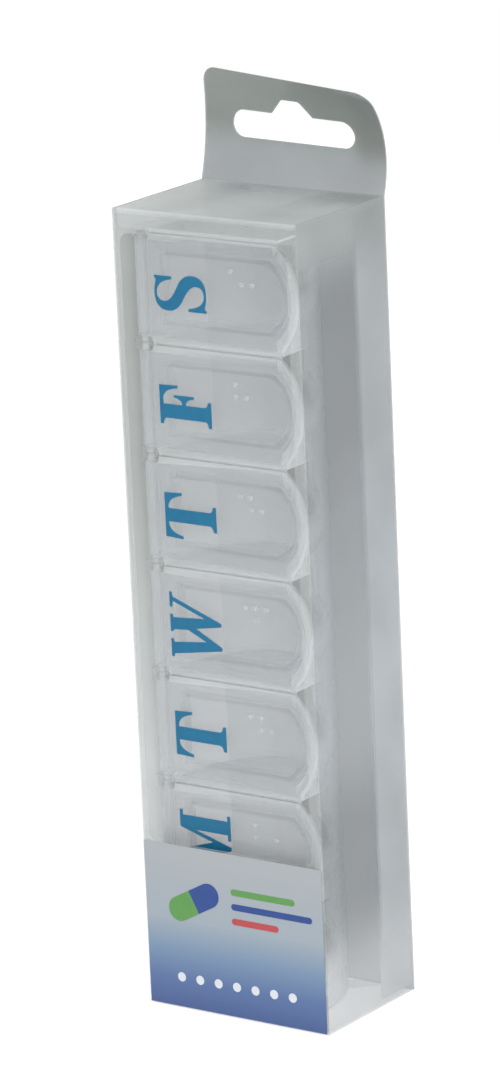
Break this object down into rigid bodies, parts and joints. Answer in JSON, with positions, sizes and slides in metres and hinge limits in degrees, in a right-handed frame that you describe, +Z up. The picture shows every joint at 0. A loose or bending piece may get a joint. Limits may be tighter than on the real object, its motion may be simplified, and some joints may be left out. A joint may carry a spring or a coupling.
{
  "type": "weekly pill box in a hang carton",
  "caption": "Upright weekly pill box with a hinged lid for each day, standing in a clear film carton that has a front window, a printed band and a hang tab.",
  "frame": {"origin": "middle of the carton's bottom, on the surface it stands on", "axes": "+Z up along the pill box, -Y towards the lids, +X towards their thumb lips"},
  "size_m": [0.0426, 0.0328, 0.1819],
  "materials": {
    "moulded_tray": "translucent natural polypropylene, moulded, slightly hazy",
    "moulded_lid": "translucent natural polypropylene, moulded, smooth",
    "clear_film": "clear plastic film with a grey cast, glossy, creased at the folds",
    "printed_label": "printed band, silver grey at the top fading to blue"
  },
  "bodies": {
    "pack": {"pill_tray": "moulded_tray", "back_panel": "clear_film", "left_wall": "clear_film", "right_wall": "clear_film", "glue_strip": "clear_film", "front_panel": "clear_film", "bottom_panel": "clear_film", "bottom_dust_flap_left": "clear_film", "bottom_dust_flap_right": "clear_film", "label": "printed_label"},
    "lid_sunday": {"lid_sunday": "moulded_lid"},
    "lid_monday": {"lid_monday": "moulded_lid"},
    "lid_tuesday": {"lid_tuesday": "moulded_lid"},
    "lid_wednesday": {"lid_wednesday": "moulded_lid"},
    "lid_thursday": {"lid_thursday": "moulded_lid"},
    "lid_friday": {"lid_friday": "moulded_lid"},
    "lid_saturday": {"lid_saturday": "moulded_lid"},
    "top_flap": {"top_flap": "clear_film"},
    "top_dust_flap_left": {"top_dust_flap_left": "clear_film"},
    "top_dust_flap_right": {"top_dust_flap_right": "clear_film"}
  },
  "joints": [
    {"name": "lid_sunday_hinge", "type": "hinge", "parent": "pack", "child": "lid_sunday", "pos_m": [-0.018, -0.0105, 0.0122], "axis": [0, 0, -1], "range_deg": [0, 3.5]},
    {"name": "lid_monday_hinge", "type": "hinge", "parent": "pack", "child": "lid_monday", "pos_m": [-0.018, -0.0105, 0.0342], "axis": [0, 0, -1], "range_deg": [0, 3.5]},
    {"name": "lid_tuesday_hinge", "type": "hinge", "parent": "pack", "child": "lid_tuesday", "pos_m": [-0.018, -0.0105, 0.0562], "axis": [0, 0, -1], "range_deg": [0, 90]},
    {"name": "lid_wednesday_hinge", "type": "hinge", "parent": "pack", "child": "lid_wednesday", "pos_m": [-0.018, -0.0105, 0.0782], "axis": [0, 0, -1], "range_deg": [0, 90]},
    {"name": "lid_thursday_hinge", "type": "hinge", "parent": "pack", "child": "lid_thursday", "pos_m": [-0.018, -0.0105, 0.1002], "axis": [0, 0, -1], "range_deg": [0, 90]},
    {"name": "lid_friday_hinge", "type": "hinge", "parent": "pack", "child": "lid_friday", "pos_m": [-0.018, -0.0105, 0.1222], "axis": [0, 0, -1], "range_deg": [0, 90]},
    {"name": "lid_saturday_hinge", "type": "hinge", "parent": "pack", "child": "lid_saturday", "pos_m": [-0.018, -0.0105, 0.1442], "axis": [0, 0, -1], "range_deg": [0, 90]},
    {"name": "top_flap_hinge", "type": "hinge", "parent": "pack", "child": "top_flap", "pos_m": [0, 0.0148, 0.16], "axis": [-1, 0, 0], "range_deg": [0, 70]},
    {"name": "top_dust_flap_left_hinge", "type": "hinge", "parent": "pack", "child": "top_dust_flap_left", "pos_m": [-0.0209, 0, 0.1593], "axis": [0, 1, 0], "range_deg": [0, 12]},
    {"name": "top_dust_flap_right_hinge", "type": "hinge", "parent": "pack", "child": "top_dust_flap_right", "pos_m": [0.0209, 0, 0.1593], "axis": [0, -1, 0], "range_deg": [0, 12]}
  ]
}
